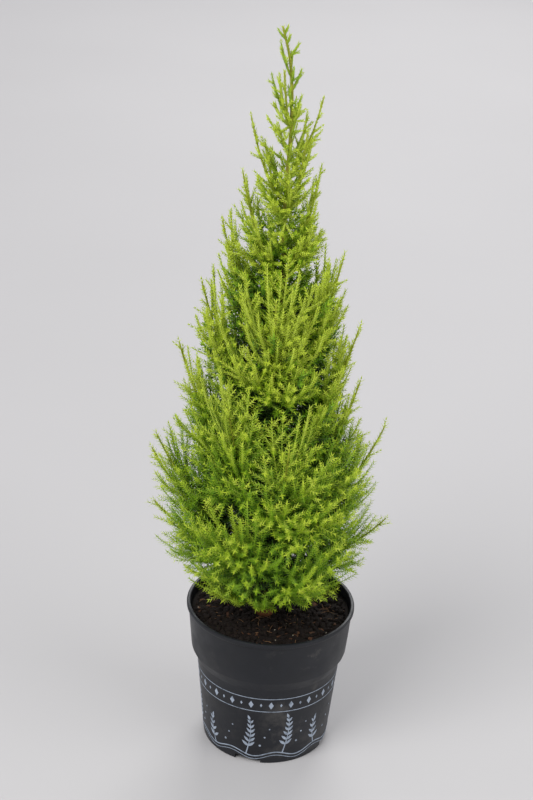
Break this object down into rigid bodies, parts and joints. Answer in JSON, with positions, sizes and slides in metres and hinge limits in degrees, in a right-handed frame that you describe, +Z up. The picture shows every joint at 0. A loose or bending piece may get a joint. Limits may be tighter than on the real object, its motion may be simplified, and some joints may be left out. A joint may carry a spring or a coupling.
{
  "type": "potted goldcrest monterey cypress",
  "caption": "Young columnar conifer with ascending boughs and feathery lime-green foliage, rooted in soil in a round tapered nursery pot that stands on its flat underside.",
  "frame": {"origin": "middle of the pot's flat underside", "axes": "+Z up along the pot's axis and the trunk, -Y towards the front, +X to the right as seen from the front"},
  "size_m": [0.164, 0.1432, 0.5159],
  "materials": {
    "pot": "semi-matt charcoal plastic with dusty marks and a pale print",
    "soil": "dark crumbly peat with chips of bark",
    "bark": "thin reddish-brown young bark",
    "young_bark": "green to brown young bark",
    "foliage": "soft lime-green needles, darker inside the crown"
  },
  "bodies": {
    "root": {"bough_01": "young_bark", "bough_02": "young_bark", "bough_03": "young_bark", "bough_04": "young_bark", "bough_05": "young_bark", "bough_06": "young_bark", "bough_07": "young_bark", "bough_08": "young_bark", "bough_09": "young_bark", "bough_10": "young_bark", "bough_11": "young_bark", "bough_12": "young_bark", "bough_13": "young_bark", "bough_14": "young_bark", "bough_15": "young_bark", "bough_16": "young_bark", "bough_17": "young_bark", "bough_18": "young_bark", "bough_19": "young_bark", "bough_20": "young_bark", "bough_21": "young_bark", "bough_22": "young_bark", "bough_23": "young_bark", "bough_24": "young_bark", "bough_25": "young_bark", "foliage_01": "foliage", "foliage_02": "foliage", "foliage_03": "foliage", "foliage_04": "foliage", "foliage_05": "foliage", "foliage_06": "foliage", "foliage_07": "foliage", "foliage_08": "foliage", "foliage_09": "foliage", "foliage_10": "foliage", "foliage_11": "foliage", "foliage_12": "foliage", "foliage_13": "foliage", "foliage_14": "foliage", "foliage_15": "foliage", "foliage_16": "foliage", "foliage_17": "foliage", "foliage_18": "foliage", "foliage_19": "foliage", "foliage_20": "foliage", "foliage_21": "foliage", "foliage_22": "foliage", "foliage_23": "foliage", "foliage_24": "foliage", "foliage_25": "foliage", "foliage_26": "foliage", "foliage_27": "foliage", "foliage_28": "foliage", "foliage_29": "foliage", "foliage_30": "foliage", "foliage_31": "foliage", "foliage_leader": "foliage", "pot": "pot", "soil": "soil", "trunk": "bark"}
  },
  "joints": []
}
